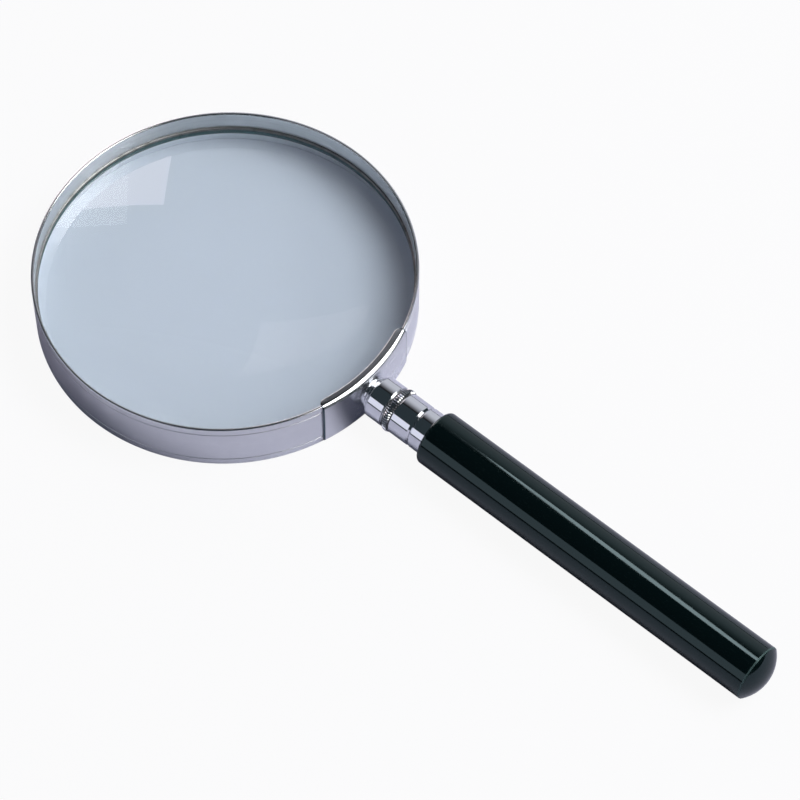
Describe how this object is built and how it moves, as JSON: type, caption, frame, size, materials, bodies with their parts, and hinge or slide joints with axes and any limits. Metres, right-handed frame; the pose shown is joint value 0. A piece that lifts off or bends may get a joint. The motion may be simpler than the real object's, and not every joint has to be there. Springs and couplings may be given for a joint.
{
  "type": "hand lens",
  "caption": "Round hand lens in a deep chromed rim, with a turned neck, knurled collar and a straight black handle that unscrews.",
  "frame": {"origin": "optical centre of the glass, at the middle of the rim's height", "axes": "+Z along the optical axis, +X along the handle from the rim to its free end"},
  "size_m": [0.2319, 0.102, 0.016],
  "materials": {
    "optical_glass": "polished crown glass, ground edge",
    "satin_chrome": "satin chrome plate on rolled steel",
    "bright_chrome": "bright chrome plate on turned brass",
    "black_plastic": "polished black phenolic",
    "spring_steel": "drawn spring wire",
    "plated_steel": "zinc plated",
    "turned_brass": "as turned"
  },
  "bodies": {
    "head": {"lens": "optical_glass", "rim_band": "satin_chrome", "saddle": "satin_chrome", "upper_retaining_wire": "spring_steel", "lower_retaining_wire": "spring_steel", "stud_screw": "plated_steel", "neck_collar": "bright_chrome", "front_barrel": "bright_chrome", "spring_washer": "spring_steel", "lock_nut": "plated_steel"},
    "washer": {"joint_washer": "plated_steel"},
    "handle": {"knurled_collar": "bright_chrome", "ferrule": "bright_chrome", "thread_insert": "turned_brass", "grip_tube": "black_plastic", "tie_rod": "plated_steel", "rear_bush": "turned_brass", "rear_washer": "plated_steel", "rear_nut": "plated_steel", "end_plug": "black_plastic"}
  },
  "joints": [
    {"name": "handle_back_off", "type": "slide", "parent": "head", "child": "washer", "axis": [1, 0, 0], "range_m": [0, 0.0084]},
    {"name": "handle_unscrew", "type": "hinge", "parent": "washer", "child": "handle", "pos_m": [0.065, 0, 0], "axis": [1, 0, 0], "range_deg": [0, 4321]}
  ],
  "couplings": [
    {"joint": "handle_unscrew", "follows": "handle_back_off", "rad_per_m": 8976}
  ]
}
